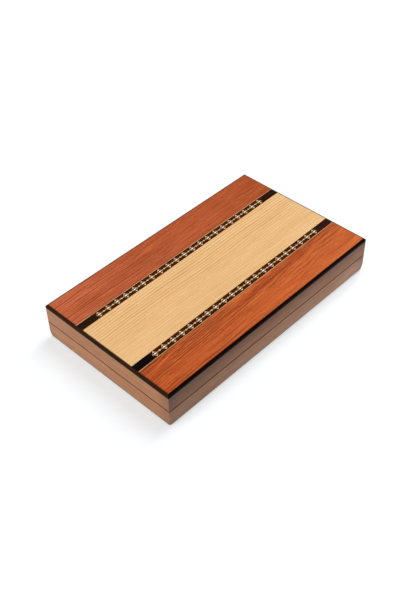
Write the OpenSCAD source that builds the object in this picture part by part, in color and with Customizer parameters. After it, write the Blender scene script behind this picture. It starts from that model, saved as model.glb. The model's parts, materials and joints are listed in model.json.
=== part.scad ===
// Folding backgammon board, closed. Millimetres.
// The origin is the middle of the underside. X runs along the length, the hinges are at the back (+Y)
// and the front, where the case opens, is at -Y. The lid turns about the seam line at the back.

/* [Case] */
// Length of the closed case
case_l = 480; // [440:1:560]
// Width of the closed case, front to back
case_w = 280; // [265:1:320]
// Height of each half, from its outer face to the middle of the seam
half_h = 36; // [32:0.5:44]
// Thickness of the rails that make the walls
rail_t = 14; // [12:0.5:18]
// Radius of the round-over along the bottom edges
bottom_round = 6.5; // [3:0.5:7]
// Radius of the upright corners
corner_r = 1; // [0.5:0.1:2]
// Radius that the bottom corners are eased to, at most the radius of the bottom edges
corner_ease_r = 5; // [2.5:0.5:7]
// Height below which the bottom corners grow round, down to the round-over
corner_ease_z = 16; // [10:1:30]
// Chamfer on each rim where the halves meet
rim_chamfer = 0.6; // [0.3:0.1:1]
// Gap between the rims of the closed halves
seam_gap = 0.3; // [0.2:0.05:0.5]
// Gap between the back faces when the board lies open and flat
back_gap = 0.3; // [0.2:0.05:0.5]

/* [Panels] */
// Thickness of the base panel
base_panel_t = 6; // [4:0.5:8]
// Depth of the rabbet in the rails that takes the base panel
rabbet = 6; // [4:0.5:6]
// Thickness of all veneers
veneer_t = 0.8; // [0.6:0.1:1.2]

/* [Lid edging] */
// Width of the black edging seen from above
edging_w = 3.6; // [3:0.1:6]
// Height of the black edging on the sides
edging_h = 6; // [5:0.1:9]
// Radius of the edging's round-over
edging_round = 3.2; // [1:0.1:3.5]

/* [Lid bands] */
// Width of the pale veneer in the middle
centre_w = 110.5; // [90:0.5:140]
// Width of each dark band
band_w = 15.1; // [12.9:0.1:18]
// Width of the pale line beside each band
string_w = 0.9; // [0.4:0.1:1.2]
// Least length of the plain black ends of a band
band_end_min = 33; // [20:1:60]
// How far the middle between the bands lies behind the middle of the lid
bands_y = -0.9; // [-3:0.1:3]
// Angle in degrees by which the bands run out of square with the lid
bands_skew = 0.45; // [-1:0.05:1]

/* [Inlay] */
// Distance from one diamond frame to the next
motif_pitch = 19.4; // [18:0.1:24]
// Length of a diamond frame along the band
frame_l = 11; // [10:0.1:12]
// Height of a diamond frame across the band
frame_h = 12.6; // [12:0.1:12.8]
// Width of the line that a frame is made of
frame_line = 0.4; // [0.3:0.1:0.6]
// Depth of the inlaid pieces
inlay_t = 0.4; // [0.3:0.05:0.5]
// Ground left between a frame and the tip of the lozenge in it
lozenge_gap = 0.6; // [0.4:0.1:1]
// Height of the lozenge in a frame
lozenge_h = 2.8; // [2:0.1:3.2]
// Length along the band of the small diamonds above and below a lozenge
upright_l = 2.4; // [1.6:0.1:3]
// Height of the small diamonds above and below a lozenge
upright_h = 3.8; // [3:0.1:4]
// Length of the diamonds between frames
between_l = 4.6; // [3:0.1:5]
// Height of the diamonds between frames
between_h = 3.4; // [2:0.1:4]
// Height of the bars that link the frames
link_h = 0.8; // [0.5:0.1:1]

/* [Playing field] */
// Length of the points
point_l = 180; // [150:1:200]
// Strip of field left between two points at their bases
point_gap = 1.2; // [0.6:0.1:3]

/* [Rack] */
// Thickness of the divider between field and rack
divider_t = 5; // [3:0.5:8]
// How far the divider stays below the rim
divider_drop = 2; // [1:0.5:6]
// Thickness of the cross partitions in the rack
partition_t = 5; // [3:0.5:8]
// How far the partitions stay below the rim
partition_drop = 6; // [2:0.5:12]

/* [Checkers and dice] */
// Diameter of a checker
checker_d = 34; // [30:0.5:36]
// Thickness of a checker
checker_t = 10; // [8:0.5:11]
// Chamfer round a checker
checker_chamfer = 1; // [0.5:0.1:2]
// Diameter of the sunk middle of a checker
dish_d = 22; // [16:0.5:26]
// Depth of the sunk middle of a checker
dish_depth = 0.8; // [0.4:0.1:1.5]
// Space between neighbouring checkers in the rack
checker_gap = 0.1; // [0.05:0.05:0.3]
// Space between a checker and the rack, all round
rack_clear = 0.5; // [0.3:0.1:1]
// Side of a die
die_s = 14; // [12:0.5:16]
// Diameter of the pips on a die
pip_d = 2.4; // [1.6:0.1:3]

/* [Hinges] */
// Length of a hinge
hinge_l = 44; // [36:1:60]
// Distance from an end of the case to the middle of the hinge next to it
hinge_inset = 90; // [60:1:110]
// Thickness of a hinge leaf
leaf_t = 1.2; // [1:0.1:1.6]
// Width of a leaf, from the pin's axis to its edge
leaf_w = 10.5; // [9.5:0.1:11]
// Outer radius of the knuckles
knuckle_r = 2.6; // [2.2:0.1:3]
// Radius of the hinge pin
pin_r = 1.2; // [0.9:0.05:1.4]
// Radius of the pin's riveted heads
pin_head_r = 1.9; // [1.6:0.1:2.2]
// Thickness of the pin's riveted heads
pin_head_t = 0.8; // [0.5:0.1:1.5]
// Radial clearance of the pin in the knuckles
pin_clear = 0.05; // [0.02:0.01:0.08]
// Clearance round the knuckles and between them
knuckle_clear = 0.3; // [0.2:0.05:0.5]

/* [Screws and magnets] */
// Radius of a screw's head
screw_head_r = 2.4; // [2:0.1:2.8]
// Radius of a screw's shank
screw_r = 1.1; // [0.9:0.1:1.4]
// Length of a screw
screw_l = 11; // [8:0.5:14]
// Clearance of the screws, magnets and leaves in their recesses
fit_clear = 0.1; // [0.05:0.05:0.2]
// Diameter of a magnet
magnet_d = 8; // [6:0.5:9]
// Thickness of a magnet
magnet_t = 3; // [2:0.5:5]
// Distance from an end of the case to the magnet next to it
magnet_inset = 80; // [30:1:120]

/* [Hidden] */
$fn = 48;

walnut = [0.60, 0.42, 0.32];
padauk = [0.76, 0.34, 0.18];
oak = [0.91, 0.75, 0.52];
ebony = [0.09, 0.08, 0.09];
rosewood = [0.22, 0.12, 0.07];
maple = [0.85, 0.77, 0.62];
holly = [0.97, 0.95, 0.90];
brass = [0.80, 0.66, 0.36];
nickel = [0.75, 0.75, 0.76];

// Past the faces that a cut goes through
over = 1;

// Heights of the case
top_z = 2 * half_h;
base_rim_z = half_h - seam_gap / 2;
lid_rim_z = half_h + seam_gap / 2;
lid_rail_top_z = top_z - edging_h;
base_floor_z = base_panel_t + veneer_t;
lid_floor_z = lid_rail_top_z - veneer_t;

// Bottom corners
ease_r = min(corner_ease_r, bottom_round);

// Inside of the case, the same in both halves
inner_l = case_l - 2 * rail_t;
inner_w = case_w - 2 * rail_t;
rack_w = checker_d + 2 * rack_clear;
rack_y = -inner_w / 2;
divider_y = rack_y + rack_w;
field_y = divider_y + divider_t;
field_w = inner_w / 2 - field_y;
pitch = field_w / 6;
checker_n = 15;
compartment_l = checker_n * (checker_t + checker_gap) + 2 * rack_clear;
partition_x = inner_l / 2 - compartment_l - partition_t / 2;

// Lid top inside the edging
top_l = case_l - 2 * edging_w;
top_w = case_w - 2 * edging_w;
band_y = centre_w / 2;
string_y = band_y + band_w;
red_y = string_y + string_w;
motif_n = floor((top_l - 2 * band_end_min - frame_l) / motif_pitch) + 1;
pattern_l = (motif_n - 1) * motif_pitch + frame_l;
band_margin = 0.5;
ground_l = pattern_l + 2 * band_margin;
first_motif_x = -(motif_n - 1) * motif_pitch / 2;

// Inside of a diamond frame, whose line is as wide all round
frame_side = sqrt(frame_l * frame_l + frame_h * frame_h);
frame_inner_l = frame_l - 2 * frame_line * frame_side / frame_h;
frame_inner_h = frame_h - 2 * frame_line * frame_side / frame_l;
lozenge_l = frame_inner_l - 2 * lozenge_gap;
upright_y = (frame_h + frame_inner_h) / 4 - upright_h / 2;

// Hinge axis: along X at the back, in the middle of the seam
axis_y = case_w / 2 + back_gap / 2;
axis_z = half_h;
hinge_x = case_l / 2 - hinge_inset;
knuckle_n = 5;
knuckle_pitch = hinge_l / knuckle_n;
bore_r = pin_r + pin_clear;
swing_r = knuckle_r + knuckle_clear;
leaf_z = seam_gap / 2;
screw_n = 3;
screw_spread = hinge_l / screw_n;
screw_y = axis_y - (leaf_w + swing_r) / 2;
screw_head_h = screw_head_r - screw_r;
slot_w = 0.7;
slot_depth = 0.5;
tip_l = 2;

magnet_x = case_l / 2 - magnet_inset;
magnet_y = -case_w / 2 + rail_t / 2;

// 2D shapes

// Corner to take away from an edge at the origin, for a round edge of radius r
module edge_round(r) {
    difference() {
        translate([-over, -over]) square(r + over);
        translate([r, r]) circle(r);
    }
}

// Corner to take away from an edge at the origin, for a chamfer c
module edge_chamfer(c) {
    polygon([[-over, -over], [c + over, -over], [-over, c + over]]);
}

// Rectangle centred on the origin with round corners
module round_rect(l, w, r) {
    square([l - 2 * r, w], center = true);
    square([l, w - 2 * r], center = true);
    for (x = [-1, 1], y = [-1, 1])
        translate([x * (l / 2 - r), y * (w / 2 - r)]) circle(r);
}

// Plan of one front rail of a frame l by w: mitred at 45 degrees, corners rounded
module mitred_plan(l, w, t) {
    intersection() {
        polygon([[-l / 2, -w / 2], [l / 2, -w / 2], [l / 2 - t, -w / 2 + t], [-l / 2 + t, -w / 2 + t]]);
        round_rect(l, w, corner_r);
    }
}

module diamond(l, h) {
    polygon([[-l / 2, 0], [0, -h / 2], [l / 2, 0], [0, h / 2]]);
}

// Frames

// A rail along X at the front of a frame l by w, from a profile whose x is the depth from the outer face
module front_rail(l, w, t) {
    intersection() {
        translate([-l / 2, -w / 2, 0]) rotate([90, 0, 90]) linear_extrude(l) children();
        linear_extrude(top_z) mitred_plan(l, w, t);
    }
}

// Solid about an upright axis that a bottom corner is turned down to: rounded below, a cone above
module corner_form() {
    reach = sqrt(2) * ease_r - (sqrt(2) - 1) * corner_r;
    slope = (reach - ease_r) / (corner_ease_z - bottom_round);
    rotate_extrude() {
        intersection() {
            translate([ease_r - bottom_round, bottom_round]) circle(bottom_round);
            square([ease_r, bottom_round]);
        }
        polygon([
            [0, bottom_round], [ease_r, bottom_round],
            [reach + slope * over, corner_ease_z + over], [0, corner_ease_z + over]
        ]);
    }
}

// What is taken away at the four bottom corners of the case
module corner_waste() {
    for (x = [0, 1], y = [0, 1])
        mirror([x, 0, 0]) mirror([0, y, 0]) translate([-case_l / 2, -case_w / 2, 0]) difference() {
            translate([-over, -over, -over]) cube([ease_r + over, ease_r + over, corner_ease_z + over]);
            translate([ease_r, ease_r, 0]) corner_form();
        }
}

// The same rail put on one side of the case: front, right, back or left
module on_side(side, t) {
    across = side % 2 == 1;
    rotate([0, 0, 90 * side])
        front_rail(across ? case_w : case_l, across ? case_l : case_w, t) children();
}

module base_profile() {
    difference() {
        square([rail_t, base_rim_z]);
        edge_round(bottom_round);
        translate([0, base_rim_z]) mirror([0, 1]) edge_chamfer(rim_chamfer);
        translate([rail_t - rabbet, -over]) square([rabbet + over, base_panel_t + over]);
    }
}

module lid_profile() {
    difference() {
        translate([0, lid_rim_z]) square([rail_t, lid_rail_top_z - lid_rim_z]);
        translate([0, lid_rim_z]) edge_chamfer(rim_chamfer);
    }
}

module edging_profile() {
    difference() {
        translate([0, lid_rail_top_z]) square([edging_w, edging_h]);
        translate([0, top_z]) mirror([0, 1]) edge_round(edging_round);
    }
}

// Hinge hardware: the shapes are drawn for the base half and mirrored in the seam for the lid half

module at_hinges() {
    for (x = [-hinge_x, hinge_x]) translate([x, 0, 0]) children();
}

module in_seam(lid) {
    translate([0, axis_y, axis_z]) mirror([0, 0, lid ? 1 : 0]) children();
}

// Screw places on one leaf, from the hinge axis, at the leaf's open face
module at_screws() {
    for (i = [0 : screw_n - 1])
        translate([(i - (screw_n - 1) / 2) * screw_spread, screw_y - axis_y, -leaf_z]) children();
}

// Recesses in a back rail for one hinge: leaf, knuckles and screws
module hinge_recess() {
    recess_l = hinge_l + 2 * (pin_head_t + knuckle_clear);
    translate([-hinge_l / 2 - fit_clear, -leaf_w - fit_clear, -leaf_z - leaf_t])
        cube([hinge_l + 2 * fit_clear, leaf_w + fit_clear + over, leaf_t + over]);
    translate([-recess_l / 2, 0, 0]) rotate([0, 90, 0]) cylinder(r = swing_r, h = recess_l);
    at_screws() translate([0, 0, -screw_l - fit_clear])
        cylinder(r = screw_r + fit_clear, h = screw_l + over);
}

module knuckles(lid) {
    for (i = [(lid ? 1 : 0) : 2 : knuckle_n - 1])
        translate([-hinge_l / 2 + i * knuckle_pitch + (i > 0 ? knuckle_clear / 2 : 0), 0, 0])
            rotate([0, 90, 0])
                cylinder(r = knuckle_r, h = knuckle_pitch
                    - (i > 0 ? knuckle_clear / 2 : 0) - (i < knuckle_n - 1 ? knuckle_clear / 2 : 0));
}

// Room in a leaf for the other leaf's knuckles
module knuckle_room(lid) {
    for (i = [(lid ? 0 : 1) : 2 : knuckle_n - 1])
        translate([-hinge_l / 2 + i * knuckle_pitch - knuckle_clear / 2 - (i == 0 ? over : 0), 0, 0])
            rotate([0, 90, 0])
                cylinder(r = swing_r, h = knuckle_pitch + knuckle_clear
                    + (i == 0 || i == knuckle_n - 1 ? over : 0));
}

module leaf(lid) {
    color(brass) in_seam(lid) difference() {
        union() {
            difference() {
                translate([-hinge_l / 2, -leaf_w, -leaf_z - leaf_t]) cube([hinge_l, leaf_w, leaf_t]);
                knuckle_room(lid);
            }
            knuckles(lid);
        }
        translate([-hinge_l / 2 - over, 0, 0]) rotate([0, 90, 0])
            cylinder(r = bore_r, h = hinge_l + 2 * over);
        at_screws() {
            translate([0, 0, -leaf_t - over])
                cylinder(r = screw_r + fit_clear, h = leaf_t + 2 * over);
            translate([0, 0, -screw_head_h])
                cylinder(r1 = screw_r + fit_clear, r2 = screw_head_r + fit_clear, h = screw_head_h);
        }
    }
}

module pin() {
    color(brass) in_seam(false) rotate([0, 90, 0]) {
        translate([0, 0, -hinge_l / 2 - pin_head_t / 2]) cylinder(r = pin_r, h = hinge_l + pin_head_t);
        for (z = [-hinge_l / 2 - pin_head_t, hinge_l / 2])
            translate([0, 0, z]) cylinder(r = pin_head_r, h = pin_head_t);
    }
}

module screw() {
    difference() {
        union() {
            translate([0, 0, -screw_head_h]) cylinder(r1 = screw_r, r2 = screw_head_r, h = screw_head_h);
            translate([0, 0, -screw_l + tip_l]) cylinder(r = screw_r, h = screw_l - tip_l - screw_head_h);
            translate([0, 0, -screw_l]) cylinder(r1 = screw_r / 4, r2 = screw_r, h = tip_l);
        }
        translate([-screw_head_r, -slot_w / 2, -slot_depth])
            cube([2 * screw_head_r, slot_w, slot_depth + over]);
    }
}

module hinge_screws(lid) {
    color(brass) in_seam(lid) at_hinges() at_screws() screw();
}

// Magnets stand in the front rims, drawn for the base and mirrored for the lid
module at_magnets(lid) {
    translate([0, 0, half_h]) mirror([0, 0, lid ? 1 : 0])
        for (x = [-magnet_x, magnet_x])
            translate([x, magnet_y, -seam_gap / 2 - fit_clear - magnet_t]) children();
}

module magnet_pockets(lid) {
    at_magnets(lid) cylinder(d = magnet_d + 2 * fit_clear, h = magnet_t + fit_clear + over);
}

module magnets(lid) {
    color(nickel) at_magnets(lid) cylinder(d = magnet_d, h = magnet_t);
}

// Rails

module base_rail(side) {
    color(walnut) difference() {
        on_side(side, rail_t) base_profile();
        corner_waste();
        if (side == 0) magnet_pockets(false);
        if (side == 2) in_seam(false) at_hinges() hinge_recess();
    }
}

module lid_rail(side) {
    color(walnut) difference() {
        on_side(side, rail_t) lid_profile();
        if (side == 0) magnet_pockets(true);
        if (side == 2) in_seam(true) at_hinges() hinge_recess();
    }
}

module edging(side) {
    color(ebony) on_side(side, edging_w) edging_profile();
}

// Panels and playing fields

module slab(l, w, z, t) {
    translate([-l / 2, -w / 2, z]) cube([l, w, t]);
}

module base_panel() {
    color(walnut) slab(inner_l + 2 * rabbet, inner_w + 2 * rabbet, 0, base_panel_t);
}

module lid_panel() {
    color(oak) slab(top_l, top_w, lid_rail_top_z, edging_h - veneer_t);
}

// Six points at each end, every second one, starting with the one that parity gives
module points_plan(parity) {
    for (end = [0, 1], i = [0 : 5])
        if ((i + end + parity) % 2 == 0)
            mirror([end, 0])
                translate([-inner_l / 2, field_y + (i + 0.5) * pitch])
                    polygon([[0, -(pitch - point_gap) / 2], [point_l, 0], [0, (pitch - point_gap) / 2]]);
}

module field(z) {
    color(oak) difference() {
        slab(inner_l, inner_w, z, veneer_t);
        translate([0, 0, z - over]) linear_extrude(veneer_t + 2 * over) {
            points_plan(0);
            points_plan(1);
        }
    }
}

module points(z, parity, colour) {
    color(colour) translate([0, 0, z]) linear_extrude(veneer_t) points_plan(parity);
}

// Divider along the rack, from z up, with its free edge rounded
module divider(height) {
    color(walnut) translate([-inner_l / 2, divider_y, 0]) rotate([90, 0, 90]) linear_extrude(inner_l) {
        square([divider_t, height - divider_t / 2]);
        translate([divider_t / 2, height - divider_t / 2]) circle(d = divider_t);
    }
}

module partitions(height) {
    color(walnut) for (x = [-partition_x, partition_x])
        translate([x - partition_t / 2, rack_y, 0]) cube([partition_t, rack_w, height]);
}

module base_divider() {
    translate([0, 0, base_floor_z]) divider(base_rim_z - divider_drop - base_floor_z);
}

module lid_divider() {
    translate([0, 0, lid_floor_z]) mirror([0, 0, 1]) divider(lid_floor_z - lid_rim_z - divider_drop);
}

module base_partitions() {
    translate([0, 0, base_floor_z]) partitions(base_rim_z - partition_drop - base_floor_z);
}

module lid_partitions() {
    translate([0, 0, lid_floor_z]) mirror([0, 0, 1]) partitions(lid_floor_z - lid_rim_z - partition_drop);
}

// Lid top

// A veneer or inlay of the lid top, t thick under its face, from a plan drawn square to the bands
module in_top(t) {
    translate([0, 0, top_z - t]) linear_extrude(t) intersection() {
        square([top_l, top_w], center = true);
        translate([0, bands_y]) rotate(bands_skew) children();
    }
}

// Plan of a strip along the lid from y0 to y1, on the front (-1) or back (1) side
module strip(side, y0, y1) {
    translate([-case_l, side > 0 ? y0 : -y1]) square([2 * case_l, y1 - y0]);
}

module red_veneer(side) {
    color(padauk) in_top(veneer_t) strip(side, red_y, case_w);
}

module string_line(side) {
    color(maple) in_top(veneer_t) strip(side, string_y, red_y);
}

module centre_veneer() {
    color(oak) in_top(veneer_t) strip(1, -band_y, band_y);
}

module on_band(side) {
    translate([0, side * (band_y + band_w / 2)]) children();
}

// Chain of diamond frames and small diamonds, in plan
module chain_plan() {
    for (i = [0 : motif_n - 1]) translate([first_motif_x + i * motif_pitch, 0]) {
        difference() {
            diamond(frame_l, frame_h);
            diamond(frame_inner_l, frame_inner_h);
        }
        for (y = [-1, 1]) translate([0, y * upright_y]) diamond(upright_l, upright_h);
        if (i < motif_n - 1) {
            translate([motif_pitch / 2, 0]) diamond(between_l, between_h);
            translate([frame_inner_l / 2, -link_h / 2]) square([motif_pitch - frame_inner_l, link_h]);
        }
    }
}

module lozenges_plan() {
    for (i = [0 : motif_n - 1])
        translate([first_motif_x + i * motif_pitch, 0]) diamond(lozenge_l, lozenge_h);
}

module ground_plan() {
    square([ground_l, band_w], center = true);
}

module band_ends(side) {
    color(ebony) in_top(veneer_t) difference() {
        strip(side, band_y, string_y);
        on_band(side) ground_plan();
    }
}

module band_ground(side) {
    color(rosewood) difference() {
        in_top(veneer_t) on_band(side) ground_plan();
        translate([0, 0, over]) in_top(inlay_t + over) on_band(side) {
            chain_plan();
            lozenges_plan();
        }
    }
}

module band_diamonds(side) {
    color(maple) in_top(inlay_t) on_band(side) chain_plan();
}

module band_lozenges(side) {
    color(holly) in_top(inlay_t) on_band(side) lozenges_plan();
}

// Checkers and dice

// One checker about its own axis, its middle at the origin
module checker() {
    rim = checker_t / 2;
    c = checker_chamfer;
    sunk = rim - dish_depth;
    rotate_extrude() polygon([
        [0, -sunk], [dish_d / 2 - dish_depth, -sunk], [dish_d / 2, -rim], [checker_d / 2 - c, -rim],
        [checker_d / 2, -rim + c], [checker_d / 2, rim - c], [checker_d / 2 - c, rim],
        [dish_d / 2, rim], [dish_d / 2 - dish_depth, sunk], [0, sunk]
    ]);
}

// A row of checkers on edge in the rack, from the left (-1) or right (1) wall
module checkers(side, colour) {
    seat_gap = checker_gap;
    color(colour) for (i = [0 : checker_n - 1])
        translate([
            side * (inner_l / 2 - rack_clear - (i + 0.5) * (checker_t + checker_gap)),
            rack_y + rack_w / 2,
            base_floor_z + seat_gap + checker_d / 2
        ]) rotate([0, 90, 0]) checker();
}

// Pips of one face, looking at it from above
module face_pips(n) {
    step = die_s / 4;
    places = [
        [[0, 0]],
        [[-1, -1], [1, 1]],
        [[-1, -1], [0, 0], [1, 1]],
        [[-1, -1], [-1, 1], [1, -1], [1, 1]],
        [[-1, -1], [-1, 1], [0, 0], [1, -1], [1, 1]],
        [[-1, -1], [-1, 0], [-1, 1], [1, -1], [1, 0], [1, 1]]
    ];
    sink = pip_d / 6;
    ball_r = (pip_d * pip_d / 4 + sink * sink) / (2 * sink);
    for (p = places[n - 1])
        translate([p[0] * step, p[1] * step, die_s / 2 - sink + ball_r]) sphere(ball_r);
}

// A die with its middle at the origin: opposite faces add up to seven
module die() {
    difference() {
        intersection() {
            cube(die_s, center = true);
            sphere(die_s * 0.74);
        }
        face_pips(5);
        rotate([180, 0, 0]) face_pips(2);
        rotate([90, 0, 0]) face_pips(3);
        rotate([-90, 0, 0]) face_pips(4);
        rotate([0, 90, 0]) face_pips(6);
        rotate([0, -90, 0]) face_pips(1);
    }
}

module dice() {
    spread = 1.6 * die_s;
    color(holly) for (i = [0, 1])
        translate([-partition_x + (i + 0.8) * spread, rack_y + rack_w / 2, base_floor_z + die_s / 2])
            rotate([0, 0, i == 0 ? 14 : -24]) die();
}

base_rail(0);  // base_front_rail
base_rail(1);  // base_right_rail
base_rail(2);  // base_back_rail
base_rail(3);  // base_left_rail
base_panel();
field(base_panel_t);  // base_field
points(base_panel_t, 0, padauk);  // base_points_red
points(base_panel_t, 1, ebony);  // base_points_black
base_divider();
base_partitions();
lid_rail(0);  // lid_front_rail
lid_rail(1);  // lid_right_rail
lid_rail(2);  // lid_back_rail
lid_rail(3);  // lid_left_rail
lid_panel();
field(lid_floor_z);  // lid_field
points(lid_floor_z, 1, padauk);  // lid_points_red
points(lid_floor_z, 0, ebony);  // lid_points_black
lid_divider();
lid_partitions();
edging(0);  // front_edging
edging(1);  // right_edging
edging(2);  // back_edging
edging(3);  // left_edging
red_veneer(-1);  // front_red_veneer
red_veneer(1);  // back_red_veneer
centre_veneer();
band_ends(-1);  // front_band_ends
band_ground(-1);  // front_band_ground
band_diamonds(-1);  // front_band_diamonds
band_lozenges(-1);  // front_band_lozenges
string_line(-1);  // front_string_line
band_ends(1);  // back_band_ends
band_ground(1);  // back_band_ground
band_diamonds(1);  // back_band_diamonds
band_lozenges(1);  // back_band_lozenges
string_line(1);  // back_string_line
translate([-hinge_x, 0, 0]) leaf(false);  // left_hinge_base_leaf
translate([-hinge_x, 0, 0]) leaf(true);  // left_hinge_lid_leaf
translate([-hinge_x, 0, 0]) pin();  // left_hinge_pin
translate([hinge_x, 0, 0]) leaf(false);  // right_hinge_base_leaf
translate([hinge_x, 0, 0]) leaf(true);  // right_hinge_lid_leaf
translate([hinge_x, 0, 0]) pin();  // right_hinge_pin
hinge_screws(false);  // base_hinge_screws
hinge_screws(true);  // lid_hinge_screws
magnets(false);  // base_magnets
magnets(true);  // lid_magnets
checkers(-1, oak);  // light_checkers
checkers(1, ebony);  // dark_checkers
dice();
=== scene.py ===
"""Folding backgammon board: the finish of every piece, the light and the camera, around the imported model."""
import json
import math

import bmesh
import bpy
from mathutils import Matrix, Vector

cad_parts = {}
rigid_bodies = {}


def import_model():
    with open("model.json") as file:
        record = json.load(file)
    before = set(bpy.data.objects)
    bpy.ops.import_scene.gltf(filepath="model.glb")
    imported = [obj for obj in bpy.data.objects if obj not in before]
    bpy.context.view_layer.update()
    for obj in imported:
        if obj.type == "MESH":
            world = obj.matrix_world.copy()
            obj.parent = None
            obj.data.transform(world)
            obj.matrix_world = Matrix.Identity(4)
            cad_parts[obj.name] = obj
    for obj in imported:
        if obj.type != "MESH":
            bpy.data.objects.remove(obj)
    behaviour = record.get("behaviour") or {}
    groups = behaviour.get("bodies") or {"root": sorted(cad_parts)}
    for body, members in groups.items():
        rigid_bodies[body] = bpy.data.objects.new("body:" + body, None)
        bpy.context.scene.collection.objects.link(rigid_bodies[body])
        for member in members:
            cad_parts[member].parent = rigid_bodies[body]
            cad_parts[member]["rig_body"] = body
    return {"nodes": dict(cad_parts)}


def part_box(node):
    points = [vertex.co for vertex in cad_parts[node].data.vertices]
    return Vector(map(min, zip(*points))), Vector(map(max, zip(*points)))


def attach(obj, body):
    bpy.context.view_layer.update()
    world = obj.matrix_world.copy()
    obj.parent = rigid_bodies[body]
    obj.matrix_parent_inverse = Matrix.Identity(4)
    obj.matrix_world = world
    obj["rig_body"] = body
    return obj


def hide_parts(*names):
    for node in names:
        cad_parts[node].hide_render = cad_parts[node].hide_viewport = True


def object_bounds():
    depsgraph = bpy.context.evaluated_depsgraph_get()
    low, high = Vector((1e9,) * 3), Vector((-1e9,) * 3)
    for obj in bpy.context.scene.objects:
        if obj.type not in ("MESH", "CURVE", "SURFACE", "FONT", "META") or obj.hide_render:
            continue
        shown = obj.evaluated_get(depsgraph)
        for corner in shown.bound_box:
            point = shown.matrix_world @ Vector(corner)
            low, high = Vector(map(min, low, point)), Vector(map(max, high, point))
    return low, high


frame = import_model()
cad_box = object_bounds()
nodes = frame["nodes"]


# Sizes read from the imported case, in millimetres

MM = 0.001


def box_mm(name):
    """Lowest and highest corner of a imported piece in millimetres."""
    return tuple(tuple(value / MM for value in corner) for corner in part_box(name))


# The hinges stand out at the back, so the width is taken from the front
case_low, case_high = (tuple(value / MM for value in corner) for corner in cad_box)
HALF_LENGTH = case_high[0]
HALF_WIDTH = -case_low[1]
TOP = case_high[2]
EDGING_LOW = box_mm("front_edging")[0][2]
EDGING_WIDE = box_mm("front_edging")[1][1] + HALF_WIDTH
SEAM = (box_mm("base_front_rail")[1][2] + box_mm("lid_front_rail")[0][2]) / 2


# Colours

def srgb(red, green, blue):
    """A colour written as 0 to 255, as the scene-linear values that shaders take."""
    def linear(level):
        share = level / 255
        return share / 12.92 if share <= 0.04045 else ((share + 0.055) / 1.055) ** 2.4
    return (linear(red), linear(green), linear(blue), 1.0)


# Writing node trees

class Net:
    """A node tree under construction. A method adds nodes and returns what comes out of them, or says what
    else it does."""

    def __init__(self, tree):
        self.tree = tree

    def node(self, kind, inputs=None, **settings):
        """Adds one node, sets it, feeds its inputs and returns the node itself."""
        made = self.tree.nodes.new(kind)
        for name, value in settings.items():
            setattr(made, name, value)
        for name, value in (inputs or {}).items():
            self.feed(made.inputs[name], value)
        return made

    def feed(self, socket, value):
        """Links a socket to what another puts out, or sets a plain value on it."""
        if isinstance(value, bpy.types.NodeSocket):
            self.tree.links.new(value, socket)
        else:
            socket.default_value = value

    def math(self, operation, a, b=0.0, c=0.0):
        return self.node("ShaderNodeMath", {0: a, 1: b, 2: c}, operation=operation).outputs[0]

    def joined(self, operation, first, *others):
        """Several values taken together, one after the other."""
        for other in others:
            first = self.math(operation, first, other)
        return first

    def inverse(self, value):
        """What a value lacks of one."""
        return self.math("SUBTRACT", 1.0, value)

    def vector(self, x=0.0, y=0.0, z=0.0):
        return self.node("ShaderNodeCombineXYZ", {0: x, 1: y, 2: z}).outputs[0]

    def split(self, vector):
        return self.node("ShaderNodeSeparateXYZ", {0: vector}).outputs

    def scaled(self, vector, scale):
        return self.node("ShaderNodeVectorMath", {0: vector, 3: scale}, operation="SCALE").outputs[0]

    def stretched(self, vector, length, width):
        """A place counted in lengths along its first axis and in widths across it."""
        x, y, z = self.split(vector)
        return self.vector(
            self.math("DIVIDE", x, length),
            self.math("DIVIDE", y, width),
            self.math("DIVIDE", z, width),
        )

    def noise(self, vector, detail=2.0, roughness=0.5):
        inputs = {"Vector": vector, "Scale": 1.0, "Detail": detail, "Roughness": roughness}
        return self.node("ShaderNodeTexNoise", inputs).outputs["Fac"]

    def sway(self, vector, reach, detail=2.0):
        """Noise to both sides of nothing, with reach from one side to the other."""
        return self.math("MULTIPLY", self.math("SUBTRACT", self.noise(vector, detail), 0.5), reach)

    def ramp(self, value, low, high, to_low=0.0, to_high=1.0, smooth=True):
        """Goes from to_low to to_high while the value goes from low to high."""
        made = self.node(
            "ShaderNodeMapRange",
            {"Value": value, "From Min": low, "From Max": high, "To Min": to_low, "To Max": to_high},
            interpolation_type="SMOOTHSTEP" if smooth else "LINEAR",
        )
        return made.outputs["Result"]

    def fall(self, value, low, high):
        """One up to low, then down to nothing at high."""
        return self.ramp(value, low, high, 1.0, 0.0)

    def mix(self, factor, a, b):
        inputs = {"Factor": factor, "A": a, "B": b}
        return self.node("ShaderNodeMix", inputs, data_type="RGBA").outputs["Result"]

    def group(self, made, **inputs):
        """Places a shared effect and gives back its outputs by name."""
        placed = self.node("ShaderNodeGroup", node_tree=made)
        for name, value in inputs.items():
            self.feed(placed.inputs[name.replace("_", " ")], value)
        return placed.outputs

    def mask(self, made, at, **inputs):
        """Places a shared effect that puts out one mask."""
        return self.group(made, Place=at, **inputs)[0]


# Shared effects

def effect(name, build, outputs, settings):
    """A shared effect: a shader node group that takes a place and numbers, each with its usual value, and
    gives numbers. It is written by build(net, inputs), which returns what each output gets."""
    tree = bpy.data.node_groups.new(name, "ShaderNodeTree")
    tree.interface.new_socket("Place", in_out="INPUT", socket_type="NodeSocketVector")
    for label, usual in settings.items():
        socket = tree.interface.new_socket(label, in_out="INPUT", socket_type="NodeSocketFloat")
        socket.default_value = usual
    for label in outputs:
        tree.interface.new_socket(label, in_out="OUTPUT", socket_type="NodeSocketFloat")
    net = Net(tree)
    entry = tree.nodes.new("NodeGroupInput")
    leave = tree.nodes.new("NodeGroupOutput")
    for label, value in build(net, entry.outputs).items():
        net.feed(leave.inputs[label], value)
    return tree


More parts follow.
